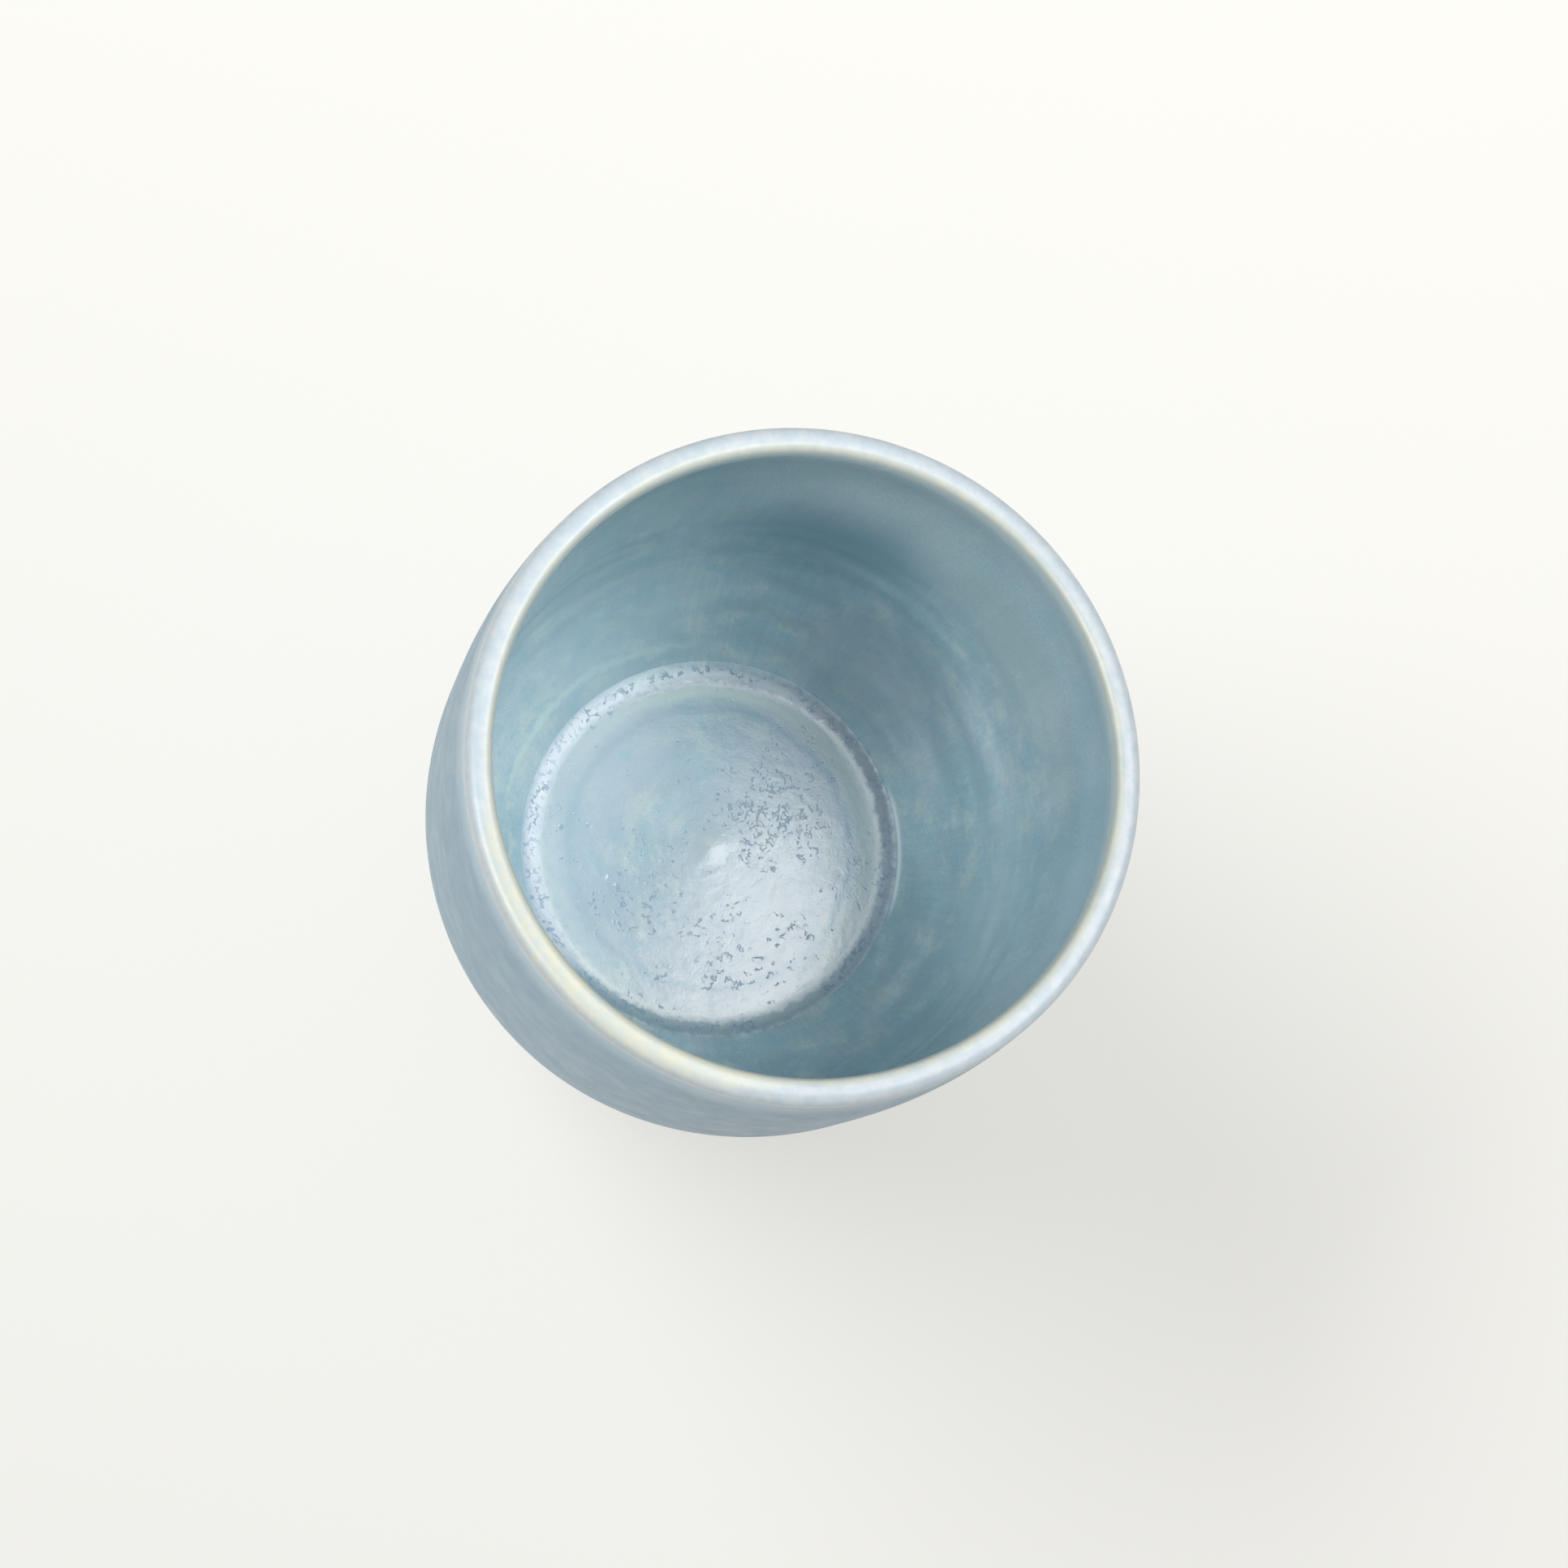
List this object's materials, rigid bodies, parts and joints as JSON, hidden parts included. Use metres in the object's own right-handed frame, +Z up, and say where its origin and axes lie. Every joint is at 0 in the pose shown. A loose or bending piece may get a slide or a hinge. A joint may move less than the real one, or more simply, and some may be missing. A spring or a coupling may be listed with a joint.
{
  "type": "handleless cup",
  "caption": "Round wheel-thrown stoneware cup without a handle: bellied wall, rounded lip, turned foot ring and satin pale blue glaze inside and out; holds a drink.",
  "frame": {"origin": "centre of the foot ring's flat underside, on the cup's axis", "axes": "+Z up along the wheel's axis; +X and +Y are any two level directions, because the cup is round"},
  "size_m": [0.0876, 0.0876, 0.084],
  "materials": {
    "stoneware": "bare fired clay, matt",
    "liner_glaze": "satin, mottled, cream where it thins over the lip",
    "outer_glaze": "satin matt"
  },
  "bodies": {
    "root": {"stoneware_body": "stoneware", "liner_glaze": "liner_glaze", "outer_glaze": "outer_glaze"}
  },
  "joints": []
}
